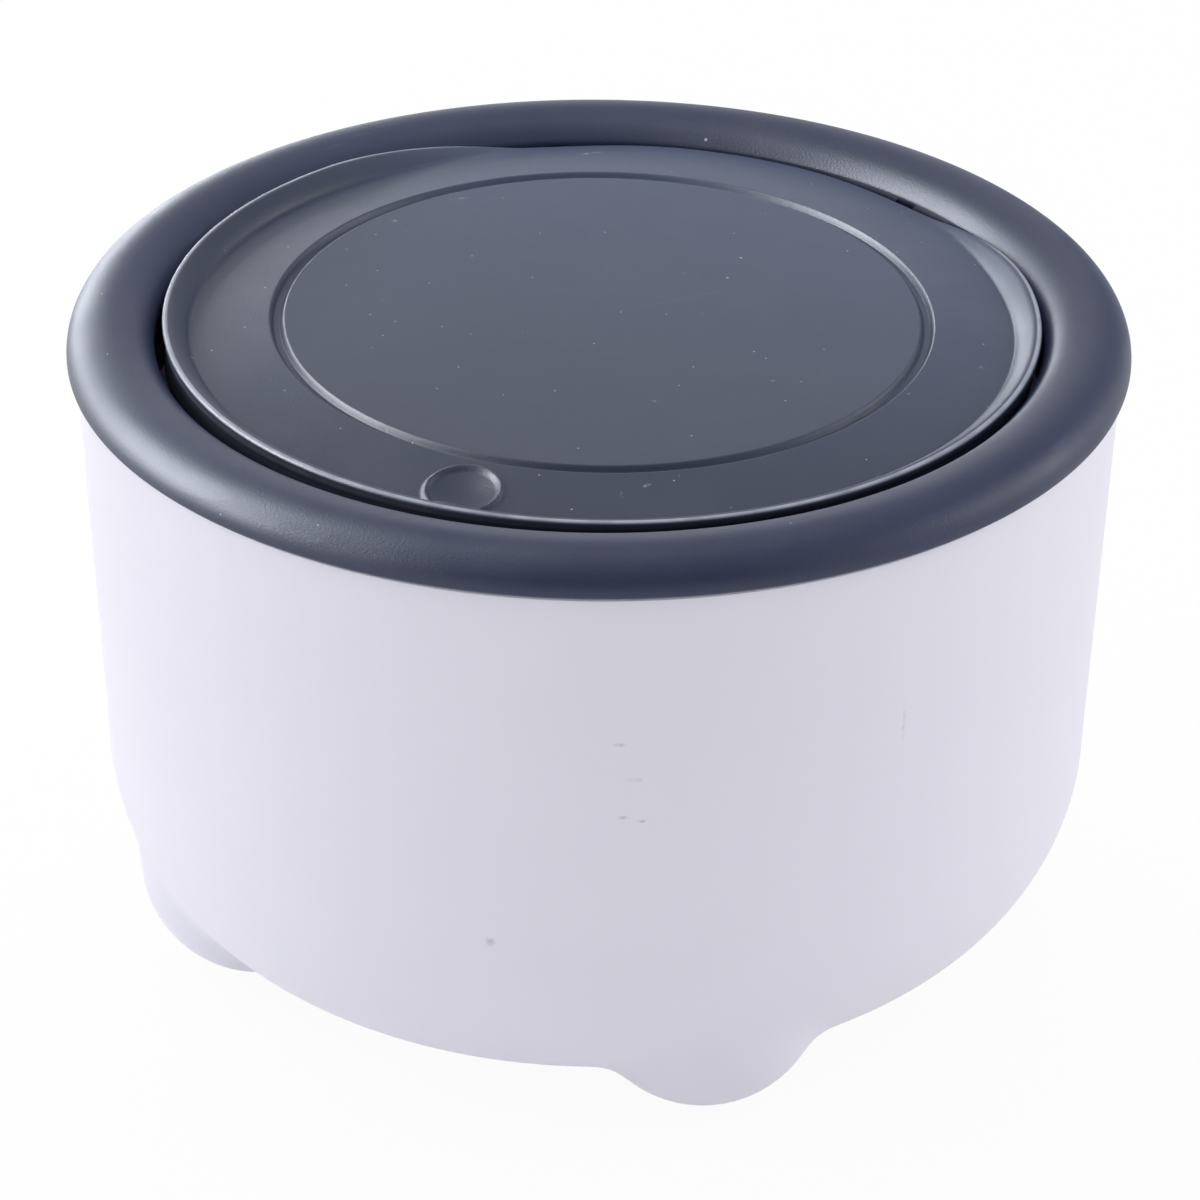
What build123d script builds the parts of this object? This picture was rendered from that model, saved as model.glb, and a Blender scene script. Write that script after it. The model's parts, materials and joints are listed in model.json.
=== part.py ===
from build123d import *
import os
from math import atan2, degrees, sqrt

# Push top countertop bin. Millimetres, +Z up. The origin is on the surface that the bin stands on,
# under the middle of the bowl. -Y is the front, where the lid is pressed, and the hinge is at +Y.

# ---- driving dimensions -------------------------------------------------------------------------

# bowl
bowl_mouth_r = 88.5         # outside of the wall at the rim
bowl_height = 112.0         # surface to the top of the rim
bowl_taper = 4.9            # how much the radius shrinks from rim to base
bowl_base_z = 4.5           # underside of the flat middle above the surface
bowl_corner_r = 35.0        # rounding from wall to base
bowl_wall = 2.0
spigot_height = 1.3         # stepped-in rim that goes up inside the cover's edge
foot_inset = 27.2           # middle of a foot inside the rim's radius
foot_r = 20.6               # each foot is part of a ball
foot_flat_depth = 0.5       # flat worn into the ball where it stands
foot_count = 4
foot_blend_r = 5.0          # where a foot runs into the bowl
seat_twist = -6.6           # how far the ring was turned on the bowl when it was put back

# rim ring: cover and carrier
ring_overhang = 1.5         # how far the ring stands out from the bowl's rim
ring_rise = 6.0             # top of the ring above the bowl's rim
ring_outer_rise = 6.0       # rounding from widest to top
ring_crown_inset = 6.2      # from the widest line to the highest one
ring_width = 13.5           # from the widest line to the opening
ring_inner_rise = 3.0       # rounding from the opening's wall to the top
ring_edge_drop = 0.9        # bottom edge of the cover below the bowl's rim
ring_edge_round = 0.8
cover_wall = 1.8
cover_inner_depth = 10.5    # cover's inner wall, from the top of the ring down
trough_depth = 13.0         # carrier's trough below the bowl's rim
carrier_wall = 1.6
flange_wall = 1.4
tongue_wall = 1.2
tongue_height = 2.4
cover_boss_d = 4.0
ring_screw_count = 6

# lid
lid_gap = 1.5               # open line between the lid and the ring
lid_wall = 1.8
disc_drop = 1.6             # flat middle below the top of the ring
groove_inset = 19.6         # middle of the groove inside the lid's edge
groove_width = 2.4
groove_depth = 0.9
floor_drop = 2.8            # floor of the dish at the outer edge, below the flat middle
crest_drop = 0.4            # top of the raised lip below the top of the ring
crest_width = 1.4
lip_width = 4.5             # lip's slope and crest, seen from above
skirt_height = 4.2          # outside wall below the floor's edge
lip_fade_length = 34.0      # the lip is whole up to this far before the hinge
lip_fade_r = 117.0          # and then falls away on this curve
dimple_r = 5.6              # concave press spot
dimple_depth = 1.0
dimple_rim = 1.0            # raised ring around it
dimple_rim_height = 0.5
dimple_inset = 10.4         # middle of the press spot inside the lid's edge
liner_wall = 1.4
lid_screw_count = 6
lid_screw_inset = 9.4       # screws inside the groove
lid_boss_d = 5.0

# hinge
hinge_inset = 7.0           # hinge line inside the lid's edge
hinge_drop = 0.4            # and below the bowl's rim
shaft_d = 1.6
shaft_hold = 9.0            # length of a shaft inside the lid
bearing_length = 3.0
lid_boss_length = 7.5
hinge_boss_wall = 1.3
hinge_boss_end = 1.0        # boss past the shaft's inner end
open_angle = 70.0           # how far the lid swings up
coil_wire_d = 0.7
coil_turns = 4
coil_overrun = 0.1          # part of a turn past the leg in the slot
coil_pitch = 0.85
coil_inner_d = 3.4
coil_tang = 0.5             # thickness of the coil's flattened end

# latch
striker_inset = 7.2         # middle of the striker inside the lid's edge
striker_length = 10.7       # below its plate
striker_neck = 2.8
striker_head = 5.6
striker_depth = 3.0
striker_head_height = 3.0
striker_head_edge = 1.0     # upright edge of the head below its shoulder
striker_plate_width = 18.0
striker_plate_depth = 6.4
striker_plate_wall = 1.4
striker_screw_x = 6.4
housing_width = 14.4
housing_depth = 11.0
housing_wall = 1.3
housing_drop = 4.5          # top of the housing below the lid's skirt
housing_height = 24.9
housing_inset = 4.5         # back of the housing inside the ring's opening
ear_width = 5.0
ear_height = 8.0
ear_wall = 2.0
plunger_drop = 2.5          # top of the plunger below the top of the housing
plunger_height = 14.4
plunger_floor = 3.0
plunger_cheek = 1.4
wire_d = 0.8
wire_bend_r = 0.6
wire_pivot_rise = 3.4       # above the bottom of the housing
wire_length = 12.6          # from its pivot to its tip
track_depth = 0.9
track_half_width = 2.4
track_below = 3.6           # how far the track runs below and above the wire's tip
track_above = 2.6
track_island_offset = 1.4
track_island_half = 0.6     # half the width of the heart-shaped island
jaw_wall = 0.7
jaw_hook = 1.2
latch_spring_d = 5.0
latch_spring_wire_d = 0.6
latch_spring_turns = 4.5
spring_peg_height = 1.5     # keeps the spring in the middle of the housing

# fasteners
screw_d = 2.2
screw_head_d = 4.0
screw_head_height = 1.3
screw_length = 6.0
short_screw_length = 4.4
screw_slot_width = 0.6

# clearances
moving_gap = 0.3            # between pieces that pass each other
fit_gap = 0.2               # between pieces that are put together
seat_gap = 0.4              # ring assembly inside the bowl's mouth
shaft_gap = 0.05            # shaft in its bearing, on the radius
press_gap = 0.01            # shaft pressed into the lid, on the radius
overcut = 1.0               # how far a cutting tool goes past a surface

# ---- sizes that follow --------------------------------------------------------------------------

bowl_inner_r = bowl_mouth_r - bowl_wall
foot_centre_r = bowl_mouth_r - foot_inset
ring_r = bowl_mouth_r + ring_overhang
ring_crown_r = ring_r - ring_crown_inset
ring_inner_r = ring_r - ring_width
ring_top_z = bowl_height + ring_rise
ring_edge_z = bowl_height - ring_edge_drop
cover_inner_face_r = ring_r - cover_wall
spigot_r = cover_inner_face_r - seat_gap
shoulder_z = bowl_height - spigot_height
ring_widest_z = ring_top_z - ring_outer_rise
ring_shoulder_z = ring_top_z - ring_inner_rise
cover_inner_bottom_z = ring_top_z - cover_inner_depth
bowl_slope = bowl_taper / (bowl_height - bowl_base_z)
skirt_r = bowl_inner_r - bowl_slope * trough_depth - seat_gap
trough_bottom_z = bowl_height - trough_depth
trough_floor_z = trough_bottom_z + carrier_wall
flange_top_z = bowl_height + flange_wall
tongue_inner_r = ring_inner_r + cover_wall + fit_gap
tongue_outer_r = tongue_inner_r + tongue_wall
channel_outer_r = skirt_r - carrier_wall
boss_circle_r = (tongue_outer_r + channel_outer_r) / 2
lid_r = ring_inner_r - lid_gap
disc_z = ring_top_z - disc_drop
groove_r = lid_r - groove_inset
groove_out_r = groove_r + groove_width / 2
lid_edge_z = disc_z - floor_drop
crest_z = ring_top_z - crest_drop
lip_foot_r = lid_r - lip_width
lid_skirt_z = lid_edge_z - skirt_height
dimple_centre_r = lid_r - dimple_inset
lid_screw_circle_r = groove_r - lid_screw_inset
lid_inner_r = lid_r - lid_wall
floor_slope = (disc_z - lid_edge_z) / (lid_r - groove_out_r)
lip_foot_z = disc_z - floor_slope * (lip_foot_r - groove_out_r)
disc_under_z = disc_z - lid_wall
liner_bottom_z = lid_skirt_z + fit_gap
liner_top_z = liner_bottom_z + liner_wall
liner_r = lid_inner_r - moving_gap
hinge_y = lid_r - hinge_inset
hinge_z = bowl_height - hinge_drop
lip_fade_start = hinge_y - lip_fade_length
shaft_r = shaft_d / 2
shaft_inner_x = sqrt(lid_r ** 2 - hinge_y ** 2) - shaft_hold
bearing_r = shaft_r + shaft_gap
coil_r = (coil_inner_d + coil_wire_d) / 2
coil_outer_r = coil_r + coil_wire_d / 2
coil_start_x = sqrt((tongue_inner_r + fit_gap) ** 2 - (hinge_y - coil_outer_r) ** 2)
coil_first_x = coil_start_x + fit_gap + coil_wire_d / 2
coil_last_x = coil_first_x + coil_turns * coil_pitch
shaft_outer_x = coil_last_x + coil_wire_d
housing_top_z = lid_skirt_z - housing_drop
housing_bottom_z = housing_top_z - housing_height
housing_back_y = housing_inset - ring_inner_r
housing_front_y = housing_back_y + housing_depth
cavity_back_y = housing_back_y + housing_wall
cavity_front_y = housing_front_y - housing_wall
cavity_width = housing_width - 2 * housing_wall
plunger_top_z = housing_top_z - plunger_drop
plunger_bottom_z = plunger_top_z - plunger_height
plunger_width = cavity_width - 2 * fit_gap
plunger_back_y = cavity_back_y + fit_gap
plunger_front_y = cavity_front_y - wire_d - 3 * fit_gap
plunger_inner_width = plunger_width - 2 * plunger_cheek
wire_pivot_z = housing_bottom_z + wire_pivot_rise
wire_tip_z = wire_pivot_z + wire_length
striker_y = striker_inset - lid_r
striker_plate_bottom_z = liner_bottom_z - striker_plate_wall
striker_tip_z = striker_plate_bottom_z - striker_length
striker_shoulder_z = striker_tip_z + striker_head_height
bracket_half_width = housing_width / 2 + ear_width
ear_mid_z = (housing_top_z + housing_bottom_z) / 2 + ear_height / 2
latch_screw_x = housing_width / 2 + ear_width / 2
spring_top_z = plunger_bottom_z
spring_bottom_z = housing_bottom_z + housing_wall
spring_y = (plunger_back_y + plunger_front_y) / 2

SIDES = {"left": -1, "right": 1}
FAR = 400.0                 # larger than the bin, for cutting tools


# ---- small helpers ------------------------------------------------------------------------------

def revolved(*edges):
    """Solid of revolution about Z from a closed outline drawn as radius and height."""
    return revolve(Plane.XZ * make_face(Wire(edges)), Axis.Z)


def turned(*points):
    """Solid of revolution from straight runs only."""
    return revolve(Plane.XZ * make_face(Polyline(*points, close=True)), Axis.Z)


def tube(outer_r, inner_r, low, high):
    """Upright round tube between two heights."""
    return turned((inner_r, low), (outer_r, low), (outer_r, high), (inner_r, high))


def rod(radius, low, high, x=0.0, y=0.0):
    """Upright round bar between two heights."""
    return Pos(x, y, (low + high) / 2) * Cylinder(radius, high - low)


def block(x_low, x_high, y_low, y_high, z_low, z_high):
    """Upright box between its two corners."""
    centre = ((x_low + x_high) / 2, (y_low + y_high) / 2, (z_low + z_high) / 2)
    return Pos(*centre) * Box(x_high - x_low, y_high - y_low, z_high - z_low)


def bar_x(radius, x_low, x_high, y, z):
    """Round bar along X."""
    length = x_high - x_low
    return Pos((x_low + x_high) / 2, y, z) * Rot(0, 90, 0) * Cylinder(radius, length)


def bar_y(radius, y_low, y_high, x, z):
    """Round bar along Y."""
    length = y_high - y_low
    return Pos(x, (y_low + y_high) / 2, z) * Rot(90, 0, 0) * Cylinder(radius, length)


def round_the_axis(piece, count, first=0.0):
    """Copies of a piece, evenly spaced about Z."""
    return [Rot(0, 0, first + 360 / count * k) * piece for k in range(count)]


def screw(length):
    """Pan-head screw that points up, with its head's seat at height 0."""
    head = Pos(0, 0, -screw_head_height / 2) * Cylinder(screw_head_d / 2, screw_head_height)
    head = fillet(head.edges().sort_by(Axis.Z)[0], screw_head_height * 0.4)
    shank = rod(screw_d / 2 - press_gap, 0, length)
    tip = chamfer(shank.edges().sort_by(Axis.Z)[-1], screw_d / 5)
    half_slot = screw_slot_width / 2
    slot = block(-screw_head_d, screw_head_d, -half_slot, half_slot,
                 -screw_head_height, -0.6 * screw_head_height)
    cross = slot & rod(screw_d / 2, -screw_head_height, 0)
    return head + tip - cross - Rot(0, 0, 90) * cross


# ---- bowl ---------------------------------------------------------------------------------------

def bowl_form(inset):
    """Tapered bowl with a rounded corner, made smaller all round by the inset."""
    base_r = bowl_mouth_r - bowl_taper - inset
    base_z = bowl_base_z + inset
    outline = Polyline((0, base_z), (base_r, base_z), (bowl_mouth_r - inset, bowl_height),
                       (0, bowl_height), close=True)
    face = make_face(outline)
    corner = face.vertices().sort_by_distance((base_r, base_z, 0))[0]
    return revolve(Plane.XZ * fillet(corner, bowl_corner_r - inset), Axis.Z)


def foot_balls(radius):
    """The balls whose lower parts are the feet."""
    ball = Pos(foot_centre_r, 0, foot_r - foot_flat_depth) * Sphere(radius)
    return round_the_axis(ball, foot_count, 45 + seat_twist)


def bowl():
    outside = bowl_form(0)
    for ball in foot_balls(foot_r):
        outside = outside + ball
    outside = fillet(outside.edges().filter_by(GeomType.BSPLINE), foot_blend_r)
    outside = outside - block(-FAR, FAR, -FAR, FAR, -FAR, 0)
    inside = bowl_form(bowl_wall)
    for ball in foot_balls(foot_r - bowl_wall):
        inside = inside + ball
    step = tube(bowl_mouth_r + overcut, spigot_r, shoulder_z, bowl_height + overcut)
    return outside - inside - step


# ---- rim ring -----------------------------------------------------------------------------------

def ring_form(inset, low):
    """Half-round ring, filled down to a level, made smaller all round by the inset."""
    centre_out = (ring_crown_r, ring_widest_z)
    centre_in = (ring_crown_r, ring_shoulder_z)
    outer_reach = ring_r - ring_crown_r - inset
    inner_reach = ring_crown_r - ring_inner_r - inset
    outer = EllipticalCenterArc(centre_out, outer_reach, ring_outer_rise - inset, 0, arc_size=90)
    inner = EllipticalCenterArc(centre_in, inner_reach, ring_inner_rise - inset, 90, arc_size=90)
    outer_leg = Line((ring_r - inset, low), (ring_r - inset, ring_widest_z))
    inner_leg = Line((ring_inner_r + inset, ring_shoulder_z), (ring_inner_r + inset, low))
    bottom = Line((ring_inner_r + inset, low), (ring_r - inset, low))
    return revolved(outer_leg, outer, inner, inner_leg, bottom)


def shaft_slots():
    """Upright slots that let the cover drop over the two hinge shafts."""
    half = shaft_r + fit_gap
    slots = []
    for side in SIDES.values():
        near, far = sorted((side * shaft_inner_x, side * shaft_outer_x))
        slots.append(block(near, far, hinge_y - half, hinge_y + half, trough_bottom_z, hinge_z))
        slots.append(bar_x(half, near, far, hinge_y, hinge_z))
    return slots


def ring_cover():
    low = cover_inner_bottom_z - overcut
    cover = ring_form(0, cover_inner_bottom_z) - ring_form(cover_wall, low)
    cover = cover - tube(ring_r + overcut, ring_crown_r, low, ring_edge_z)
    outer_edge = cover.edges().filter_by(GeomType.CIRCLE).filter_by(
        lambda edge: abs(edge.radius - ring_r) < 0.01 and abs(edge.center().Z - ring_edge_z) < 0.01)
    cover = fillet(outer_edge, ring_edge_round)
    for slot in shaft_slots():
        cover = cover - slot
    post = rod(cover_boss_d / 2, trough_floor_z, ring_top_z, x=boss_circle_r)
    post = post & ring_form(cover_wall / 2, trough_floor_z - overcut)
    pilot = rod(screw_d / 2, trough_floor_z - overcut, trough_floor_z + screw_length,
                x=boss_circle_r)
    for one in round_the_axis(post - pilot, ring_screw_count, 30):
        cover = cover + one
    return cover


def bearing_blocks():
    """Blocks in the trough that carry the hinge shafts."""
    half = bearing_r + hinge_boss_wall
    channel = tube(channel_outer_r + fit_gap, tongue_inner_r, trough_bottom_z, hinge_z + half)
    blocks = []
    for side in SIDES.values():
        inner_x = coil_start_x - fit_gap - bearing_length
        near, far = sorted((side * inner_x, side * (inner_x + bearing_length)))
        whole = block(near, far, hinge_y - half, hinge_y + half, trough_bottom_z, hinge_z + half)
        blocks.append(whole & channel)
    return blocks


def latch_bracket():
    """Upright plate on the carrier's inner wall that the latch is screwed to."""
    top = housing_top_z - housing_wall
    plate = block(-bracket_half_width, bracket_half_width, -FAR, housing_back_y,
                  ear_mid_z - ear_height / 2, top)
    plate = plate & rod(ring_inner_r + carrier_wall, trough_bottom_z - FAR, FAR)
    for side in SIDES.values():
        plate = plate - bar_y(screw_d / 2, housing_back_y - screw_length + ear_wall, housing_back_y,
                              side * latch_screw_x, ear_mid_z)
    return plate


def ring_carrier():
    inner_wall_r = ring_inner_r + carrier_wall
    wall_top = cover_inner_bottom_z - moving_gap
    carrier = tube(skirt_r, ring_inner_r, trough_bottom_z, trough_floor_z)
    carrier = carrier + tube(inner_wall_r, ring_inner_r, trough_bottom_z, wall_top)
    carrier = carrier + tube(tongue_outer_r, ring_inner_r, wall_top - carrier_wall, wall_top)
    carrier = carrier + tube(tongue_outer_r, tongue_inner_r, wall_top - carrier_wall,
                             wall_top + tongue_height)
    carrier = carrier + tube(skirt_r, channel_outer_r, trough_bottom_z, flange_top_z)
    carrier = carrier + tube(spigot_r, channel_outer_r, bowl_height, flange_top_z)
    for side in SIDES.values():
        near, far = sorted((side * (coil_start_x - fit_gap), side * (shaft_outer_x + moving_gap)))
        room = coil_outer_r + moving_gap
        carrier = carrier - block(near, far, hinge_y - room, hinge_y + room,
                                  hinge_z - room, flange_top_z + overcut)
    for piece in bearing_blocks():
        carrier = carrier + piece
    for side in SIDES.values():
        near, far = sorted((side * shaft_inner_x, side * shaft_outer_x))
        carrier = carrier - bar_x(bearing_r, near, far, hinge_y, hinge_z)
    post = rod(cover_boss_d / 2 + fit_gap, trough_floor_z, flange_top_z + overcut,
               x=boss_circle_r)
    hole = rod(screw_d / 2 + fit_gap, trough_bottom_z - overcut, trough_floor_z + overcut,
               x=boss_circle_r)
    for cut in round_the_axis(post + hole, ring_screw_count, 30):
        carrier = carrier - cut
    return carrier + latch_bracket()


def ring_screws():
    one = Pos(boss_circle_r, 0, trough_bottom_z) * screw(screw_length)
    return Compound(children=round_the_axis(one, ring_screw_count, 30))


# ---- lid ----------------------------------------------------------------------------------------

def lid_shell():
    """The lid's dish without its lip: disc, sloping floor, outside wall."""
    under_edge_z = lid_edge_z + floor_slope * lid_wall - lid_wall
    return turned((0, disc_z), (groove_out_r, disc_z), (lid_r, lid_edge_z), (lid_r, lid_skirt_z),
                  (lid_inner_r, lid_skirt_z), (lid_inner_r, under_edge_z),
                  (groove_out_r, disc_under_z), (0, disc_under_z))


def lid_lip():
    """Raised lip that falls away towards the hinge."""
    crest_in_r = lid_r - crest_width
    lip = turned((lip_foot_r, lip_foot_z), (crest_in_r, crest_z), (lid_r, crest_z),
                 (lid_r, lid_edge_z), (lid_inner_r, lid_edge_z - 0.5 * lid_wall),
                 (lip_foot_r, lip_foot_z - 0.5 * lid_wall))
    round_curve = bar_x(lip_fade_r, -FAR, FAR, lip_fade_start, crest_z - lip_fade_r)
    beyond = block(-FAR, FAR, lip_fade_start, FAR, lid_edge_z - lip_fade_r / 4, FAR)
    return lip - (beyond - round_curve)


def hinge_boss(side, length, half_width):
    """Square boss inside the lid that a shaft is pressed into."""
    near, far = sorted((side * (shaft_inner_x - hinge_boss_end), side * (shaft_inner_x + length)))
    whole = block(near, far, hinge_y - half_width, hinge_y + half_width, lid_skirt_z, disc_z)
    return whole & lid_space()


def lid_space():
    """The room between the lid's skirt and its top surface."""
    sunk = lid_wall / 4
    return turned((0, lid_skirt_z), (lid_r - sunk, lid_skirt_z), (lid_r - sunk, lid_edge_z - sunk),
                  (groove_out_r, disc_z - sunk), (0, disc_z - sunk))


def swung_ring(angle):
    """The ring with room around it, as the lid that is open by the angle sees it."""
    ring = ring_form(-moving_gap, cover_inner_bottom_z)
    return Pos(0, hinge_y, hinge_z) * Rot(angle, 0, 0) * Pos(0, -hinge_y, -hinge_z) * ring


def lid_panel():
    panel = lid_shell() + lid_lip()
    for share in (0.85, 1.0):
        panel = panel - swung_ring(share * open_angle)
    groove = revolve(Plane.XZ * Pos(groove_r, disc_z) * Ellipse(groove_width / 2, groove_depth), Axis.Z)
    panel = panel - groove
    dimple_y = -dimple_centre_r
    floor_z = disc_z - floor_slope * (dimple_centre_r - groove_out_r)
    tilt = -degrees(atan2(floor_slope, 1))
    seat = Pos(0, dimple_y, floor_z) * Rot(tilt, 0, 0)
    ring_outer = dimple_r + dimple_rim
    pad = seat * Pos(0, 0, -lid_wall / 2) * Cylinder(ring_outer, lid_wall + 2 * dimple_rim_height)
    pad = fillet(pad.edges().sort_by(Axis.Z)[-1], dimple_rim_height * 0.9)
    hollow_r = (dimple_r ** 2 + dimple_depth ** 2) / (2 * dimple_depth)
    hollow = seat * Pos(0, 0, dimple_rim_height + hollow_r - dimple_depth) * Sphere(hollow_r)
    panel = panel + pad - hollow
    boss_half = shaft_r + hinge_boss_wall
    for side in SIDES.values():
        panel = panel + hinge_boss(side, lid_boss_length, boss_half)
        near, far = sorted((side * shaft_inner_x, side * shaft_outer_x))
        panel = panel - bar_x(shaft_r + press_gap, near, far, hinge_y, hinge_z)
    post = rod(lid_boss_d / 2, liner_top_z, disc_under_z + lid_wall / 4, x=lid_screw_circle_r)
    pilot = rod(screw_d / 2, liner_top_z - overcut, liner_bottom_z + short_screw_length,
                x=lid_screw_circle_r)
    for one in round_the_axis(post, lid_screw_count, 30):
        panel = panel + one
    for one in round_the_axis(pilot, lid_screw_count, 30):
        panel = panel - one
    return panel


def lid_liner():
    liner = rod(liner_r, liner_bottom_z, liner_top_z)
    boss_half = shaft_r + hinge_boss_wall + fit_gap
    for side in SIDES.values():
        near, far = sorted((side * (shaft_inner_x - hinge_boss_end - fit_gap), side * FAR))
        liner = liner - block(near, far, hinge_y - boss_half, FAR, lid_skirt_z, disc_z)
        boss = rod(screw_d, liner_top_z, disc_under_z - moving_gap, side * striker_screw_x, striker_y)
        boss = boss & turned((0, liner_bottom_z), (lid_inner_r, liner_bottom_z),
                             (lid_inner_r, lid_edge_z - lid_wall - moving_gap),
                             (groove_out_r, disc_under_z - moving_gap), (0, disc_under_z - moving_gap))
        liner = liner + boss
        liner = liner - rod(screw_d / 2, lid_skirt_z, striker_plate_bottom_z + short_screw_length,
                            side * striker_screw_x, striker_y)
    hole = rod(screw_d / 2 + fit_gap, lid_skirt_z, disc_z, x=lid_screw_circle_r)
    for one in round_the_axis(hole, lid_screw_count, 30):
        liner = liner - one
    return liner


def lid_screws():
    one = Pos(lid_screw_circle_r, 0, liner_bottom_z) * screw(short_screw_length)
    return Compound(children=round_the_axis(one, lid_screw_count, 30))


# ---- hinge --------------------------------------------------------------------------------------

def hinge_shaft(side):
    """Steel pin, pressed in the lid's boss, with a slot for the spring in its outer end."""
    near, far = sorted((side * shaft_inner_x, side * shaft_outer_x))
    shaft = bar_x(shaft_r, near, far, hinge_y, hinge_z)
    half = coil_tang / 2 + shaft_gap
    slot_start = coil_last_x - coil_wire_d / 2 - fit_gap
    low, high = sorted((side * slot_start, side * FAR))
    return shaft - block(low, high, hinge_y - FAR, hinge_y + FAR, hinge_z - half, hinge_z + half)


def torsion_spring_right():
    """Coil about the shaft: one leg stands in the trough, the flattened end sits in the shaft's slot."""
    wire_r = coil_wire_d / 2
    behind = hinge_y + coil_r
    laid = Plane(origin=(coil_first_x, hinge_y, hinge_z), x_dir=(0, 1, 0), z_dir=(1, 0, 0))
    helix = laid * Helix(coil_pitch, (coil_turns + coil_overrun) * coil_pitch, coil_r)
    leg_length = hinge_z - trough_floor_z - 2 * moving_gap
    leg = Line(helix @ 0 - Vector(0, 0, leg_length), helix @ 0)
    path = Wire([leg, helix])
    coil = sweep(Plane(path @ 0, z_dir=path % 0) * Circle(wire_r), path)
    half = coil_tang / 2
    tang = block(coil_last_x - wire_r, coil_last_x + wire_r, hinge_y - shaft_r, behind,
                 hinge_z - half, hinge_z + half)
    return coil + tang


# ---- latch --------------------------------------------------------------------------------------

def striker():
    half_depth = striker_depth / 2
    low_y = striker_y - half_depth
    high_y = striker_y + half_depth
    plate = block(-striker_plate_width / 2, striker_plate_width / 2,
                  striker_y - striker_plate_depth / 2, striker_y + striker_plate_depth / 2,
                  striker_plate_bottom_z, liner_bottom_z)
    plate = plate & rod(lid_inner_r - moving_gap, striker_plate_bottom_z, liner_bottom_z)
    neck = block(-striker_neck / 2, striker_neck / 2, low_y, high_y,
                 striker_tip_z, striker_plate_bottom_z)
    half_head = striker_head / 2
    edge_z = striker_shoulder_z - striker_head_edge
    arrow = Polyline((-striker_neck / 2, striker_tip_z), (striker_neck / 2, striker_tip_z),
                     (half_head, edge_z), (half_head, striker_shoulder_z),
                     (-half_head, striker_shoulder_z), (-half_head, edge_z), close=True)
    head = extrude(Plane.XZ * make_face(arrow), amount=striker_depth)
    piece = plate + neck + Pos(0, high_y, 0) * head
    for side in SIDES.values():
        piece = piece - rod(screw_d / 2 + fit_gap, striker_plate_bottom_z - overcut,
                            liner_bottom_z + overcut, side * striker_screw_x, striker_y)
    return piece


def striker_screws():
    places = [Pos(side * striker_screw_x, striker_y, striker_plate_bottom_z) for side in SIDES.values()]
    return Compound(children=[place * screw(short_screw_length) for place in places])


def latch_housing():
    half = housing_width / 2
    body = block(-half, half, housing_back_y, cavity_front_y, housing_bottom_z, housing_top_z)
    ear = block(-bracket_half_width, bracket_half_width, housing_back_y, housing_back_y + ear_wall,
                ear_mid_z - ear_height / 2, ear_mid_z + ear_height / 2)
    body = body + ear
    cavity = block(-cavity_width / 2, cavity_width / 2, cavity_back_y, FAR,
                   spring_bottom_z, housing_top_z + overcut)
    body = body - cavity
    body = body + rod(latch_spring_d / 2 - latch_spring_wire_d - fit_gap,
                      spring_bottom_z - housing_wall / 2, spring_bottom_z + spring_peg_height,
                      0, spring_y)
    for side in SIDES.values():
        body = body - bar_y(screw_d / 2 + fit_gap, housing_back_y - overcut,
                            housing_back_y + ear_wall + overcut, side * latch_screw_x, ear_mid_z)
    return body


def latch_cover():
    half = housing_width / 2
    cover = block(-half, half, cavity_front_y, housing_front_y, housing_bottom_z, housing_top_z)
    return cover - bar_y(wire_d / 2 + shaft_gap, cavity_front_y - overcut,
                         housing_front_y + overcut, 0, wire_pivot_z)


def track_groove():
    """Cam track in the plunger's front: a loop round a heart-shaped island."""
    run = block(-track_half_width, track_half_width, plunger_front_y - track_depth, FAR,
                wire_tip_z - track_below, wire_tip_z + track_above)
    heart = Polyline((-1, 0), (0, 0.8), (1, 0), (1, -0.8), (0, -2.2), (-1, -0.8), close=True)
    heart = scale(heart, by=track_island_half)
    island = extrude(Plane.XZ * make_face(heart), amount=FAR)
    return run - Pos(-track_island_offset, 0, wire_tip_z - track_island_offset) * island


def latch_plunger():
    half = plunger_width / 2
    inner = plunger_inner_width / 2
    body = block(-half, half, plunger_back_y, plunger_front_y, plunger_bottom_z, plunger_top_z)
    plate_y = plunger_front_y - track_depth - housing_wall / 2
    body = body - block(-inner, inner, -FAR, plate_y, plunger_bottom_z + plunger_floor, FAR)
    return body - track_groove()


def latch_jaws():
    outer = plunger_inner_width / 2 - fit_gap / 2
    inner = outer - jaw_wall
    low = plunger_bottom_z + plunger_floor
    hook_z = striker_shoulder_z + fit_gap
    tip = striker_neck / 2 + moving_gap
    high = hook_z + jaw_hook
    outline = Polyline((outer, low), (outer, high), (tip, hook_z + jaw_hook / 3), (tip, hook_z),
                       (inner, hook_z), (inner, low + jaw_wall), (-inner, low + jaw_wall),
                       (-inner, hook_z), (-tip, hook_z), (-tip, hook_z + jaw_hook / 3),
                       (-outer, high), (-outer, low), close=True)
    clip = extrude(Plane.XZ * make_face(outline), amount=striker_depth)
    return Pos(0, striker_y + striker_depth / 2, 0) * clip


def latch_spring():
    length = spring_top_z - spring_bottom_z - latch_spring_wire_d
    radius = (latch_spring_d - latch_spring_wire_d) / 2
    path = Helix(length / latch_spring_turns, length, radius)
    section = Plane(path @ 0, z_dir=path % 0) * Circle(latch_spring_wire_d / 2)
    coil = sweep(section, path, is_frenet=True)
    return Pos(0, spring_y, spring_bottom_z + latch_spring_wire_d / 2) * coil


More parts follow.
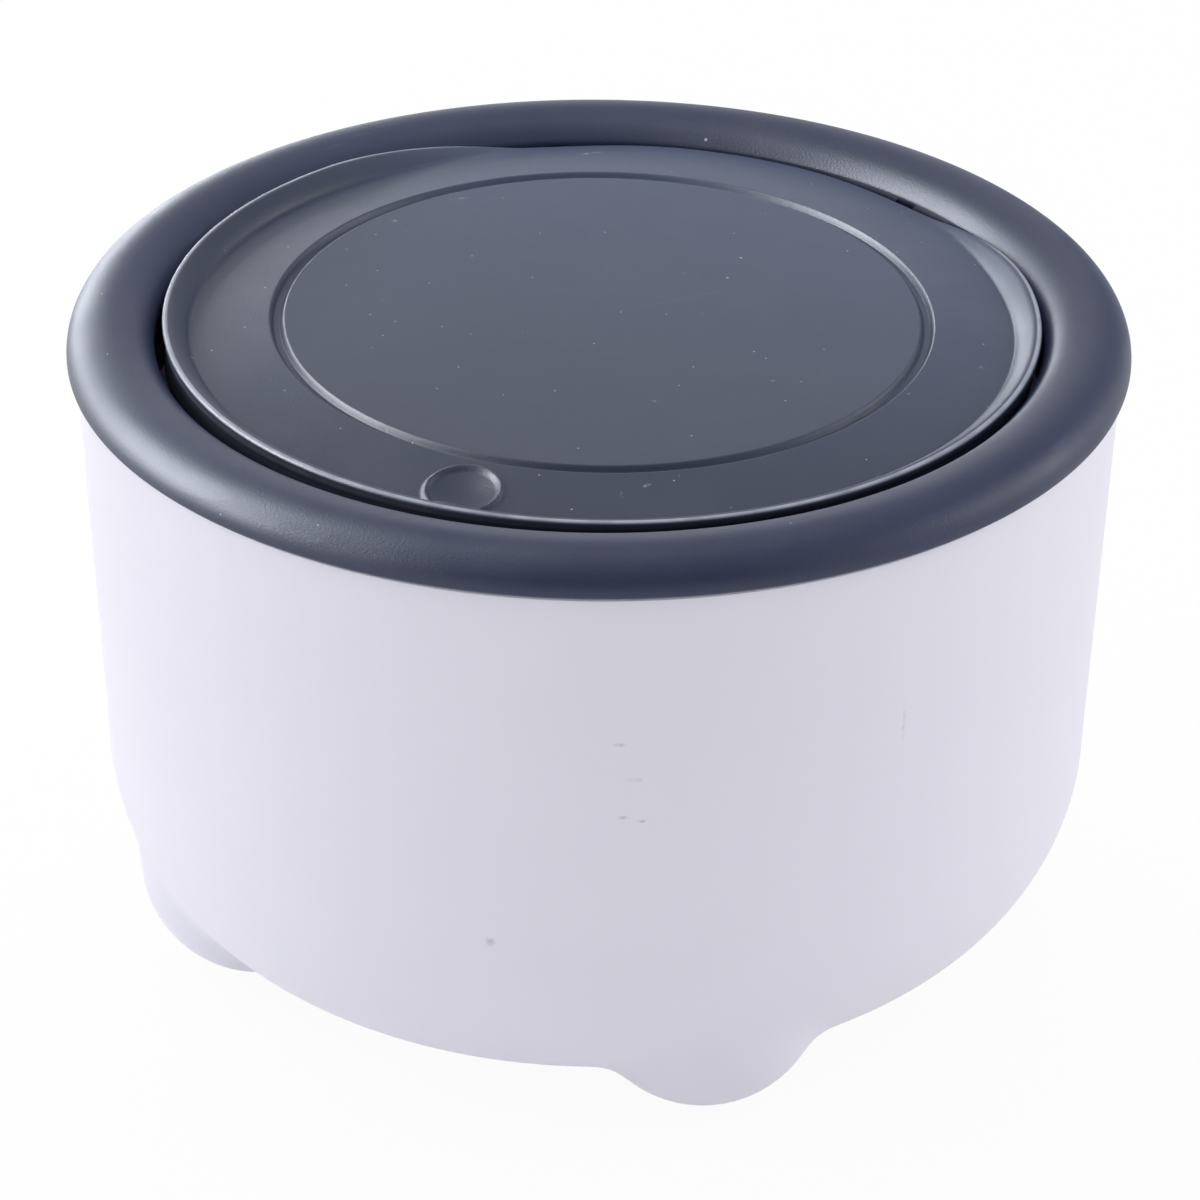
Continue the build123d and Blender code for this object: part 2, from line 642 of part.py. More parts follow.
def cam_wire():
    """Bent wire: its foot turns in the latch's cover and its tip runs in the plunger's track."""
    stem_y = plunger_front_y + fit_gap + wire_d / 2
    foot_y = housing_front_y - fit_gap
    tip_y = plunger_front_y - track_depth + fit_gap
    bends = FilletPolyline((0, foot_y, wire_pivot_z), (0, stem_y, wire_pivot_z),
                           (0, stem_y, wire_tip_z), (0, tip_y, wire_tip_z), radius=wire_bend_r)
    return sweep(Plane(bends @ 0, z_dir=bends % 0) * Circle(wire_d / 2), bends)


def latch_screws():
    one = Rot(90, 0, 0) * screw(screw_length)
    y = housing_back_y + ear_wall
    return Compound(children=[Pos(side * latch_screw_x, y, ear_mid_z) * one for side in SIDES.values()])


# ---- write the pieces ---------------------------------------------------------------------------

def pieces():
    made = {
        "bowl": bowl(),
        "ring_cover": ring_cover(),
        "ring_carrier": ring_carrier(),
        "ring_screws": ring_screws(),
        "lid_panel": lid_panel(),
        "lid_liner": lid_liner(),
        "lid_screws": lid_screws(),
        "striker": striker(),
        "striker_screws": striker_screws(),
        "latch_housing": latch_housing(),
        "latch_cover": latch_cover(),
        "latch_plunger": latch_plunger(),
        "latch_jaws": latch_jaws(),
        "latch_spring": latch_spring(),
        "cam_wire": cam_wire(),
        "latch_screws": latch_screws(),
        "torsion_spring_right": torsion_spring_right(),
        "torsion_spring_left": mirror(torsion_spring_right(), Plane.YZ),
    }
    for name, side in SIDES.items():
        made["hinge_shaft_" + name] = hinge_shaft(side)
    return made


os.makedirs("parts", exist_ok=True)
for node, shape in pieces().items():
    export_step(shape, "parts/" + node + ".step")
    print(node, len(shape.solids()), round(shape.volume, 1))
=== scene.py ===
# %% [markdown]
# # A push top countertop bin
# The bin is a pale bowl on four soft feet, with a dark ring on its rim and a dark lid in the ring.
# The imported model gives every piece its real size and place. This lesson dresses it: the three big
# mouldings are modelled anew, so that they bend smoothly, and the small pieces get the finish of
# their material.

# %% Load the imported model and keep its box
import json
from math import cos, exp, hypot, radians, sin, sqrt

import bmesh
import bpy
from mathutils import Matrix, Quaternion, Vector


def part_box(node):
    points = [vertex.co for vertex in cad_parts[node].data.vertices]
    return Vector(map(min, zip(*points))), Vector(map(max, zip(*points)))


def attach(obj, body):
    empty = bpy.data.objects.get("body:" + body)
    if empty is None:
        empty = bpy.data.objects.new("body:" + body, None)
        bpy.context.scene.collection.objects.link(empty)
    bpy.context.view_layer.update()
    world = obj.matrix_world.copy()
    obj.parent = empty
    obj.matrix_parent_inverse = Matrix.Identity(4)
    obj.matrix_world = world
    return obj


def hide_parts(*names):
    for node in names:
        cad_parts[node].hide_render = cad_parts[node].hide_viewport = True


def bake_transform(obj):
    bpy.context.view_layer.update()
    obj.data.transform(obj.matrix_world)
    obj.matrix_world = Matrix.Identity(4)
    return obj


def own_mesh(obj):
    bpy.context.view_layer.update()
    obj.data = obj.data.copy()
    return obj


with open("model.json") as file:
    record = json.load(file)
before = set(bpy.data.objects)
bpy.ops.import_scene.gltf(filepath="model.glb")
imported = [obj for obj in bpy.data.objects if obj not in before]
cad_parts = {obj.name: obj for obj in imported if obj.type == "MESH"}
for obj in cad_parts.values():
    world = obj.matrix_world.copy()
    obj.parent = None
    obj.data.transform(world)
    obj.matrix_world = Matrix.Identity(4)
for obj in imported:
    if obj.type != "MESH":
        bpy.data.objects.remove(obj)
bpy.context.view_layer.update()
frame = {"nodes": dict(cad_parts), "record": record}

# %% [markdown]
# ## Sizes
# The drawings below are in millimetres, because mouldings are drawn that way, and one factor turns
# them into Blender's metres. The size of the ring and the lid and the height of the bowl are read
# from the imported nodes, so the new pieces stay where the old ones are. The new lid is drawn a little
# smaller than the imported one.

# %% Sizes that every piece shares
MM = 0.001


def reach_mm(node):
    """Radius and top, in millimetres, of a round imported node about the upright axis."""
    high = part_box(node)[1]
    return high[0] / MM, high[2] / MM


lid_trim = 0.7
crest_trim = 0.35

ring_r, ring_top_z = reach_mm("ring_cover")
bowl_top_z = reach_mm("bowl")[1]
packed_lid_r, packed_crest_z = reach_mm("lid_panel")
lid_r = packed_lid_r - lid_trim
crest_z = packed_crest_z - crest_trim
print("ring radius", round(ring_r, 2), "ring top", round(ring_top_z, 2),
      "lid radius", round(lid_r, 2))

# %% [markdown]
# ## The camera
# A long lens looks down at the bin from a little to the right of the lid's press spot. The camera
# comes first, so that every later step can be judged through it. It is rolled about its line of
# sight by a little less than half a degree, and its frame is shifted a little.

# %% Camera
view_azimuth = radians(20.0)
view_elevation = radians(29.22)
view_distance = 1.0115
view_roll = 0.00817
lens_mm = 174.5
film_mm = 36
frame_shift = (0.0026, 0.0048)
bin_middle = Vector((0, 0, 0.06))

towards_camera = Vector((sin(view_azimuth) * cos(view_elevation),
                         -cos(view_azimuth) * cos(view_elevation), sin(view_elevation)))
rightwards = Vector((cos(view_azimuth), sin(view_azimuth), 0))
camera = bpy.data.objects.new("camera", bpy.data.cameras.new("camera"))
camera.data.lens = lens_mm
camera.data.sensor_width = film_mm
camera.data.shift_x, camera.data.shift_y = frame_shift
camera.location = bin_middle + towards_camera * view_distance
camera.rotation_mode = "QUATERNION"
level_look = (-towards_camera).to_track_quat("-Z", "Y")
camera.rotation_quaternion = level_look @ Quaternion((0, 0, 1), view_roll)
bpy.context.scene.collection.objects.link(camera)
bpy.context.scene.camera = camera
print("camera at", [round(value, 3) for value in camera.location])

# %% [markdown]
# ## Helpers for round mouldings
# A moulding that is round from above is drawn as half of its section and spun about the upright
# axis. The rounded corners of the drawing are short stretches of an ellipse, so one helper gives
# their points. Removing doubles closes the seam and the poles of what was spun.

# %% Helpers: arcs, spinning and finished objects
def arc(centre, reach, start, end, count):
    """Points on a stretch of an ellipse, as radius and height, from one angle to another."""
    points = []
    for step in range(count + 1):
        angle = radians(start + (end - start) * step / count)
        points.append((centre[0] + reach[0] * cos(angle), centre[1] + reach[1] * sin(angle)))
    return points


def spread(start, end, count):
    """Evenly spaced numbers between two ends, the last one left out."""
    return [start + (end - start) * step / count for step in range(count)]


def spun(outline, steps, closed=True, fine=None):
    """Mesh of a section, given as radius and height in millimetres, spun about the upright axis.

    Fine spins one stretch in smaller steps. It gives the stretch's start and end in degrees and
    its own number of steps. Without it the spin closes its own seam."""
    mesh = bmesh.new()
    turns = [(0, 360, steps)]
    if fine:
        turns = [(fine[0], fine[1], fine[2]), (fine[1], fine[0] + 360, steps)]
    for start, end, count in turns:
        ray = Vector((cos(radians(start)), sin(radians(start)), 0))
        corners = [mesh.verts.new((ray * radius + Vector((0, 0, height))) * MM)
                   for radius, height in outline]
        edges = [mesh.edges.new(pair) for pair in zip(corners, corners[1:])]
        if closed:
            edges.append(mesh.edges.new((corners[-1], corners[0])))
        bmesh.ops.spin(mesh, geom=corners + edges, cent=(0, 0, 0), axis=(0, 0, 1),
                       angle=radians(end - start), steps=count, use_merge=fine is None)
    bmesh.ops.remove_doubles(mesh, verts=mesh.verts, dist=1e-6)
    bmesh.ops.recalc_face_normals(mesh, faces=mesh.faces)
    return mesh


def finished(mesh, name, sharp_above=38):
    """Turns a bmesh into a smooth-shaded object that keeps its sharp corners."""
    for face in mesh.faces:
        face.smooth = True
    for edge in mesh.edges:
        edge.smooth = edge.calc_face_angle(0) < radians(sharp_above)
    data = bpy.data.meshes.new(name)
    mesh.to_mesh(data)
    mesh.free()
    piece = bpy.data.objects.new(name, data)
    bpy.context.scene.collection.objects.link(piece)
    print(name, len(data.polygons), "faces")
    return piece


def soft_max(first, second, blend):
    """The larger of two heights. Where they differ by less than blend, the corner is rounded."""
    share = max(0, 1 - abs(first - second) / blend)
    return max(first, second) + blend * share * share / 4


def soft_min(first, second, blend):
    """The smaller of two heights, with the corner between them rounded."""
    return -soft_max(-first, -second, blend)


# %% [markdown]
# ## The bowl
# The bowl is one moulding with its feet. It could be a solid of revolution with four balls joined
# to it, but a join leaves a hard line, and the real feet swell out of the wall like dough. So the
# wall is spun as a thin skin, and every point near a foot is pushed away from the middle of that
# foot's ball until it lies on the ball, with a soft transition. Only then does the skin get its
# thickness, so the feet are hollow inside, as in a moulding with walls of even thickness.

# %% Bowl: the spun skin
mouth_r = 88.5
base_r = 83.6
base_z = 4.5
corner_r = 35.0
bowl_wall = 2.0
spigot_r = 87.75
shoulder_z = 110.7
bowl_steps = 336

wall_slope = (mouth_r - base_r) / (bowl_top_z - base_z)
corner_centre_r = base_r - corner_r + wall_slope * corner_r
outline = [(0, base_z)]
outline += [(radius, base_z) for radius in spread(4, corner_centre_r, 22)]
outline += arc((corner_centre_r, base_z + corner_r), (corner_r, corner_r), -90, 0, 60)
outline += [(base_r + wall_slope * (height - base_z), height)
            for height in spread(base_z + corner_r + 2, shoulder_z - 0.5, 22)]
outline += [(mouth_r - 0.1, shoulder_z - 0.5), (spigot_r, shoulder_z + 0.1), (spigot_r, bowl_top_z)]
bowl_mesh = spun(outline, bowl_steps, closed=False)

# %% [markdown]
# The balls stand in a square that is turned by about eight degrees against the press spot, because
# the ring was put back on the bowl that way. A point's distance from a ball's centre is replaced by
# the larger of that distance and the ball's radius. The rounding of that choice is the foot's soft
# root. What would come out below the floor is flattened onto it.

# %% Bowl: the feet
foot_ring_r = 61.3
foot_r = 20.6
foot_sink = 0.5
foot_blend = 3.4
foot_turn = 37.4

for quarter in range(4):
    angle = radians(foot_turn + 90 * quarter)
    centre = Vector((foot_ring_r * cos(angle), foot_ring_r * sin(angle), foot_r - foot_sink)) * MM
    for vertex in bowl_mesh.verts:
        arm = vertex.co - centre
        reach = arm.length / MM
        if reach < foot_r + foot_blend:
            vertex.co = centre + arm * (soft_max(reach, foot_r, foot_blend) / reach)
for vertex in bowl_mesh.verts:
    vertex.co.z = max(vertex.co.z, 0)
bmesh.ops.solidify(bowl_mesh, geom=bowl_mesh.faces, thickness=bowl_wall * MM)
bmesh.ops.recalc_face_normals(bowl_mesh, faces=bowl_mesh.faces)
bowl = finished(bowl_mesh, "bowl_shell")
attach(bowl, "bowl")
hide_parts("bowl")

# %% [markdown]
# ## The rim ring
# The ring is a hollow half-round cap over the bowl's rim. Its section has a short outer leg, a long
# inner leg and a rounded top. The top falls off as a quarter of an ellipse on the outside, and as a
# parabola that bends down more near its end on the inside. The section is closed, so the spun ring
# has real thickness when it is lifted or seen from below.

# %% Ring: section and spin
crown_r = 83.0
outer_rise = 5.8
inner_run = 6.6
inner_drop = 2.1
inner_sag = 4.3
sag_start = 0.55
inner_r = 75.2
inside_rows = (77.8, 79.0, 80.2, 81.4)
ring_wall = 1.8
outer_edge_z = 111.1
inner_edge_z = 107.5
edge_round = 0.8
ring_steps = 320

widest_z = ring_top_z - outer_rise


def inner_top_z(radius):
    """Height of the ring's top between its crown and its inner edge."""
    share = (crown_r - radius) / inner_run
    return ring_top_z - inner_drop * share ** 2 - inner_sag * max(0, share - sag_start) ** 3


inner_top = inner_top_z(inner_r)
outline = arc((ring_r - edge_round, outer_edge_z + edge_round), (edge_round, edge_round), -90, 0, 8)
outline += arc((crown_r, widest_z), (ring_r - crown_r, outer_rise), 0, 90, 30)
outline += [(radius, inner_top_z(radius)) for radius in spread(crown_r, inner_r + 0.05, 34)[1:]]
outline += [(inner_r + 0.04, inner_top), (inner_r, inner_top - 0.25)]
outline += [(inner_r, height) for height in (111.5, 109.5, inner_edge_z + 0.3)]
outline += [(inner_r + 0.3, inner_edge_z), (inner_r + ring_wall - 0.3, inner_edge_z)]
outline += [(inner_r + ring_wall, inner_edge_z + 0.3)]
outline += [(inner_r + ring_wall, inner_top - 0.6)]
outline += [(radius, inner_top_z(radius) - ring_wall) for radius in inside_rows]
outline += arc((crown_r, widest_z), (ring_r - crown_r - ring_wall, outer_rise - ring_wall),
               90, 0, 10)
outline += [(ring_r - ring_wall, outer_edge_z + 0.2), (ring_r - ring_wall + 0.2, outer_edge_z)]
ring_mesh = spun(outline, ring_steps)
ring = finished(ring_mesh, "rim_ring")

# %% [markdown]
# Two upright slots in the inner leg let the ring drop over the hinge shafts. A Boolean modifier
# takes away a bar for each, and the result becomes the ring's mesh, so that nothing of the cutters
# is left. The two helpers for posts and for joined meshes are used by the lid.

# %% Ring: slots for the hinge shafts
hinge_y = 68.0
hinge_z = 111.6
shaft_slot_half = 1.0
shaft_slot_x = (31, 45)


def bar_between(low, high, round_mm=0.0, segments=3):
    """Mesh of a box between two corners in millimetres, with rounded edges if asked."""
    mesh = bmesh.new()
    middle = [(a + b) / 2 for a, b in zip(low, high)]
    size = [b - a for a, b in zip(low, high)]
    place = Matrix.Translation(Vector(middle) * MM) @ Matrix.Diagonal((*[s * MM for s in size], 1))
    bmesh.ops.create_cube(mesh, size=1, matrix=place)
    if round_mm:
        bmesh.ops.bevel(mesh, geom=mesh.edges, offset=round_mm * MM, segments=segments,
                        affect="EDGES", profile=0.5, material=-1)
    return mesh


def post_between(radius, low, high, x, y, sides=32):
    """Mesh of an upright round post in millimetres."""
    mesh = bmesh.new()
    place = Matrix.Translation(Vector((x, y, (low + high) / 2)) * MM)
    bmesh.ops.create_cone(mesh, cap_ends=True, segments=sides, radius1=radius * MM,
                          radius2=radius * MM, depth=(high - low) * MM, matrix=place)
    return mesh


def add_meshes(piece, meshes):
    """Adds more closed meshes to a finished piece."""
    whole = bmesh.new()
    whole.from_mesh(piece.data)
    for mesh in meshes:
        extra = bpy.data.meshes.new("extra")
        mesh.to_mesh(extra)
        mesh.free()
        whole.from_mesh(extra)
        bpy.data.meshes.remove(extra)
    whole.to_mesh(piece.data)
    whole.free()


def cut_away(piece, mesh):
    """Subtracts a mesh from a piece with a Boolean modifier, and keeps only the result."""
    cutter = finished(mesh, "cutter")
    modifier = piece.modifiers.new("cut", "BOOLEAN")
    modifier.operation = "DIFFERENCE"
    modifier.solver = "EXACT"
    modifier.object = cutter
    graph = bpy.context.evaluated_depsgraph_get()
    cut = bpy.data.meshes.new_from_object(piece.evaluated_get(graph))
    piece.modifiers.clear()
    piece.data = cut
    bpy.data.objects.remove(cutter)


for side in (-1, 1):
    near, far = sorted(side * x for x in shaft_slot_x)
    slot_low = (near, hinge_y - shaft_slot_half, inner_edge_z - 2)
    slot_high = (far, hinge_y + shaft_slot_half, hinge_z + shaft_slot_half)
    cut_away(ring, bar_between(slot_low, slot_high))
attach(ring, "ring")
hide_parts("ring_cover")

# %% [markdown]
# ## The lid
# The lid is a shallow dish: a flat disc inside a groove, a ring of floor that slopes gently down,
# and a thin raised lip that fades away towards the hinge. The dish is spun with its floor running
# out to the edge. The height of the lip depends on where a point is, so it is then raised point by
# point from one formula: a slope of fixed shape that hangs from a crest, where the crest sinks along
# a parabola near the hinge.

# %% Lid: sizes and the height of its top
disc_z = 116.4
groove_r = 55.0
groove_width = 2.7
groove_depth = 1.1
groove_ramp = 0.95
edge_z = 113.6
lid_wall = 1.8
skirt_z = 109.4
skirt_draft = 0.7
crest_width = 1.2
crest_soft = 0.5
lip_foot_r = 69.8
lip_round = 0.6
lip_straight = 0.75
fade_start_y = 34.0
fade_curve = 0.00427
lip_soft = 0.35
heel_round = 0.7
lid_steps = 330
spot_fan = (-97, -83, 56)

groove_out_r = groove_r + groove_width / 2
lip_zone_r = lip_foot_r - 4
top_skin_z = edge_z - 0.9
spot_skin_z = edge_z - 0.6
floor_fall = (disc_z - edge_z) / (lid_r - groove_out_r)
lip_width = lid_r - crest_width - lip_foot_r
lip_height = crest_z - (disc_z - floor_fall * (lip_foot_r - groove_out_r))


def rounded_edge(radius, size):
    """How far a rounded outer edge of this size has dropped at a radius."""
    inward = radius - (lid_r - size)
    return size - sqrt(max(0, size * size - inward * inward)) if inward > 0 else 0.0


def floor_z(radius):
    """Height of the disc, the groove and the sloping floor at a radius."""
    inside = groove_width / 2 - abs(radius - groove_r)
    depth = 0.0
    if inside > 0:
        share = min(1, inside / groove_ramp)
        depth = groove_depth * share * share * (3 - 2 * share)
    return disc_z - floor_fall * max(0, radius - groove_out_r) - depth


def lid_top_z(radius, y):
    """Height of the lid's top, lip included."""
    sunk = fade_curve * max(0, y - fade_start_y) ** 2
    bare = floor_z(radius) - rounded_edge(radius, heel_round)
    share = max(0, lid_r - crest_width - radius) / lip_width
    slope = crest_z - sunk - lip_height * (lip_straight * share + (1 - lip_straight) * share ** 4)
    crest = crest_z - sunk
    lip = soft_min(slope, crest, crest_soft) - rounded_edge(radius, lip_round)
    return soft_max(bare, lip, lip_soft) if radius > lip_zone_r else bare


# %% Lid: the spun dish
top_rows = [0] + spread(6, 48, 6) + [48, 51.5, 53.0]
top_rows += spread(groove_r - groove_width / 2 - 0.2, groove_r + groove_width / 2 + 0.2, 26)
top_rows += spread(groove_out_r + 0.25, 68.5, 48) + spread(68.5, lid_r - 1, 26)
top_rows += spread(lid_r - 1, lid_r - 0.1, 9) + [lid_r - share for share in (0.1, 0.05, 0.015, 0)]
outline = [(radius, floor_z(radius)) for radius in top_rows]
skirt_r = lid_r - skirt_draft
outline += [(skirt_r, height) for height in (112.4, 111.0, skirt_z + 0.3)]
outline += [(skirt_r - 0.3, skirt_z), (skirt_r - lid_wall + 0.2, skirt_z)]
outline += [(skirt_r - lid_wall, skirt_z + 0.2), (skirt_r - lid_wall, edge_z - 2)]
outline += [(groove_out_r, disc_z - lid_wall), (0, disc_z - lid_wall)]
lid_mesh = spun(outline, lid_steps, closed=False, fine=spot_fan)
for vertex in lid_mesh.verts:
    radius = hypot(vertex.co.x, vertex.co.y) / MM
    if vertex.co.z > top_skin_z * MM and radius > lip_zone_r:
        vertex.co.z = lid_top_z(min(radius, lid_r), vertex.co.y / MM) * MM

# %% [markdown]
# The press spot is a shallow hollow inside a raised rim, just large enough for a fingertip. The
# dish was spun in quarter-degree steps there, because a rim less than two millimetres wide needs
# points about a quarter of a millimetre apart. A point's distance from the middle of the spot says
# how far it is lifted or lowered.

# %% Lid: the press spot
spot_y = -64.6
spot_rim_r = 6.1
spot_rim_width = 0.85
spot_rim_height = 0.65
spot_hollow_r = 5.7
spot_hollow_depth = 1.15
spot_hollow_curve = 1.2

spot = Vector((0, spot_y * MM))
lift_count = 0
for vertex in lid_mesh.verts:
    away = (vertex.co.xy - spot).length / MM
    if away < spot_rim_r + spot_rim_width and vertex.co.z > spot_skin_z * MM:
        rim = max(0, 1 - abs(away - spot_rim_r) / spot_rim_width)
        hollow = max(0, 1 - (away / spot_hollow_r) ** 2)
        vertex.co.z += (spot_rim_height * rim * rim * (3 - 2 * rim)
                        - spot_hollow_depth * hollow ** spot_hollow_curve) * MM
        lift_count += 1
print("points moved for the press spot:", lift_count)

# %% [markdown]
# The lid has a little play, so it doesn't sit dead level in the ring. Its upper part leans and rolls
# by up to three quarters of a millimetre at the edge, and moves half a millimetre to the right as
# the camera sees it. The skirt's lower edge stays where it is.

# %% Lid: its play
lid_lean = 0.008
lid_roll = -0.0095
lid_play = 0.5

for vertex in lid_mesh.verts:
    upper = min(1, max(0, (vertex.co.z / MM - skirt_z - 1) / 2))
    vertex.co.z += upper * (lid_lean * vertex.co.y + lid_roll * vertex.co.dot(rightwards))
    vertex.co += upper * lid_play * MM * rightwards

# %% [markdown]
# While the lid opens, its back edge swings down and backwards about the hinge, and left and right of
# the hinge it runs into the ring. The edge is drawn in and down a little there, with a soft bell
# curve that leaves no corner. That makes the overlap smaller, but it doesn't clear it: an edge drawn
# in far enough would show as a notch when the lid is shut.

# %% Lid: a little room to swing
shoulder_x = 32.5
shoulder_width = 12.0
shoulder_pull = 0.5
shoulder_drop = 0.5
shoulder_from_y = 40
shoulder_from_r = 64
shoulder_ramp = 8
shoulder_from_z = 111

drawn_in = 0
for vertex in lid_mesh.verts:
    radius = vertex.co.xy.length / MM
    if vertex.co.y > shoulder_from_y * MM and radius > shoulder_from_r:
        near = (abs(vertex.co.x) / MM - shoulder_x) / shoulder_width
        ramp = min(1, (radius - shoulder_from_r) / shoulder_ramp)
        pull = shoulder_pull * exp(-near * near) * ramp
        upper = min(1, max(0, (vertex.co.z / MM - shoulder_from_z) / 2))
        vertex.co.xy *= 1 - pull / radius
        vertex.co.z -= shoulder_drop * pull * upper * MM
        drawn_in += 1
bmesh.ops.recalc_face_normals(lid_mesh, faces=lid_mesh.faces)
lid = finished(lid_mesh, "lid_dish")
print("points drawn in for the swing:", drawn_in)

# %% Lid: the hinge bosses and screw posts on its underside
boss_x = (20.5, 25.5)
boss_front = 2.1
boss_back = 1.3
boss_round = 0.3
post_r = 2.5
post_foot_z = 111.0
post_ring_r = 46

lid_extras = []
for side in (-1, 1):
    near, far = sorted(side * x for x in boss_x)
    lid_extras.append(bar_between((near, hinge_y - boss_front, skirt_z + 0.2),
                                  (far, hinge_y + boss_back, top_skin_z), boss_round))
for sixth in range(6):
    angle = radians(30 + 60 * sixth)
    lid_extras.append(post_between(post_r, post_foot_z, disc_z - lid_wall + 0.2,
                                   post_ring_r * cos(angle), post_ring_r * sin(angle)))
add_meshes(lid, lid_extras)
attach(lid, "lid")
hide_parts("lid_panel")

# %% [markdown]
# ## Finishes
# Every finish is built from nodes that read Object coordinates, in metres, so the pattern sits on
# the piece and moves with it. Colours are written as the red, green and blue of a colour picker and
# turned into Blender's linear values by one helper. Values that are the same all over a surface are
# set on the shader itself.

# %% Finishes: helpers
def linear(red, green, blue):
    """Colour picker values, 0 to 255, as the linear colour that Blender works with."""
    values = []
    for value in (red, green, blue):
        share = value / 255
        values.append(share / 12.92 if share <= 0.04045 else ((share + 0.055) / 1.055) ** 2.4)
    return (*values, 1.0)


def tint(colour, factor):
    """The same colour, lighter or darker."""
    return (*[min(1, value * factor) for value in colour[:3]], 1.0)


class Finish:
    """A material and short calls that add nodes to it."""

    def __init__(self, name, roughness, **fixed):
        self.material = bpy.data.materials.new(name)
        self.material.use_nodes = True
        self.tree = self.material.node_tree
        self.shader = self.tree.nodes["Principled BSDF"]
        self.shader.inputs["Roughness"].default_value = roughness
        for socket, value in fixed.items():
            self.shader.inputs[socket.replace("_", " ")].default_value = value
        self.place = self.add("TexCoord").outputs["Object"]

    def add(self, kind, inputs=None, **settings):
        """A node of a kind, with its settings, and its inputs given as values or as outputs."""
        node = self.tree.nodes.new("ShaderNode" + kind)
        for key, value in settings.items():
            setattr(node, key, value)
        for key, value in (inputs or {}).items():
            if isinstance(value, bpy.types.NodeSocket):
                self.tree.links.new(value, node.inputs[key])
            else:
                node.inputs[key].default_value = value
        return node

    def noise(self, size_mm, detail=2.0, roughness=0.5):
        """Soft random values whose blobs are about this large."""
        inputs = {"Vector": self.place, "Scale": 1 / (size_mm * MM), "Detail": detail,
                  "Roughness": roughness}
        return self.add("TexNoise", inputs).outputs["Fac"]

    def remap(self, value, low, high, to_low, to_high):
        """One range of values turned into another, and clamped."""
        inputs = {"Value": value, "From Min": low, "From Max": high,
                  "To Min": to_low, "To Max": to_high}
        return self.add("MapRange", inputs).outputs["Result"]

    def math(self, operation, first, second=0.0):
        """One step of arithmetic on values."""
        return self.add("Math", {0: first, 1: second}, operation=operation).outputs["Value"]

    def blend(self, share, first, second):
        """Mixes two colours by a share between 0 and 1."""
        node = self.add("Mix", {"Factor": share}, data_type="RGBA")
        for socket, value in ((node.inputs[6], first), (node.inputs[7], second)):
            if isinstance(value, bpy.types.NodeSocket):
                self.tree.links.new(value, socket)
            else:
                socket.default_value = value
        return node.outputs[2]

    def colour(self, value):
        self.tree.links.new(value, self.shader.inputs["Base Color"])

    def roughness(self, value):
        self.tree.links.new(value, self.shader.inputs["Roughness"])

    def specular(self, value):
        self.tree.links.new(value, self.shader.inputs["Specular IOR Level"])

    def bump(self, *heights):
        """Stacks height patterns, each given as values and the millimetres of a full step."""
        normal = None
        for value, height_mm in heights:
            node = self.add("Bump", {"Height": value, "Distance": height_mm * MM, "Strength": 1.0})
            if normal is not None:
                self.tree.links.new(normal, node.inputs["Normal"])
            normal = node.outputs["Normal"]
        self.tree.links.new(normal, self.shader.inputs["Normal"])

    def specks(self, cell_mm, radius_mm, share):
        """Round specks: each cell may hold one, and only this share of the cells does."""
        cells = self.add("TexVoronoi", {"Vector": self.place, "Scale": 1 / (cell_mm * MM)})
        chosen = self.math("LESS_THAN", self.add("SeparateColor", {0: cells.outputs["Color"]})
                           .outputs[0], share)
        near = self.remap(cells.outputs["Distance"], 0.5 * radius_mm / cell_mm,
                          radius_mm / cell_mm, 1, 0)
        return self.math("MULTIPLY", chosen, near)

    def from_axis(self, x, y):
        """Distance from an upright axis at a place in millimetres."""
        inputs = {0: self.place, 1: Vector((x, y, 0)) * MM}
        moved = self.add("VectorMath", inputs, operation="SUBTRACT").outputs["Vector"]
        flat = self.add("VectorMath", {0: moved, 1: (1, 1, 0)}, operation="MULTIPLY")
        length = self.add("VectorMath", {0: flat.outputs["Vector"]}, operation="LENGTH")
        return length.outputs["Value"]

    def round_line(self, x, y, radius, width):
        """A soft line that runs round an upright axis at a radius, in millimetres."""
        off = self.math("ABSOLUTE", self.math("SUBTRACT", self.from_axis(x, y), radius * MM))
        return self.remap(off, width * 0.25 * MM, width * 0.5 * MM, 1, 0)

    def outside(self, x, y, radius, soft):
        """Rises from 0 to 1 where an upright axis is further away than a radius, in millimetres."""
        return self.remap(self.from_axis(x, y), (radius - soft) * MM, radius * MM, 0, 1)

    def between(self, axis, low, high):
        """Rises from 0 to 1 between two places along an axis of the object, in millimetres."""
        place = self.add("SeparateXYZ", {0: self.place}).outputs[axis]
        return self.remap(place, low * MM, high * MM, 0, 1)

    def spot(self, x, y, z, width, depth, height, turn=0.0):
        """A soft-edged mark at a place on the object, as large as given, in millimetres."""
        inputs = {"Vector": self.place}
        moved = self.add("Mapping", inputs, vector_type="TEXTURE")
        moved.inputs["Location"].default_value = Vector((x, y, z)) * MM
        moved.inputs["Rotation"].default_value = (0, 0, radians(turn))
        moved.inputs["Scale"].default_value = Vector((width, depth, height)) * MM / 2
        length = self.add("VectorMath", {0: moved.outputs["Vector"]}, operation="LENGTH")
        return self.remap(length.outputs["Value"], 0.4, 1.0, 1, 0)
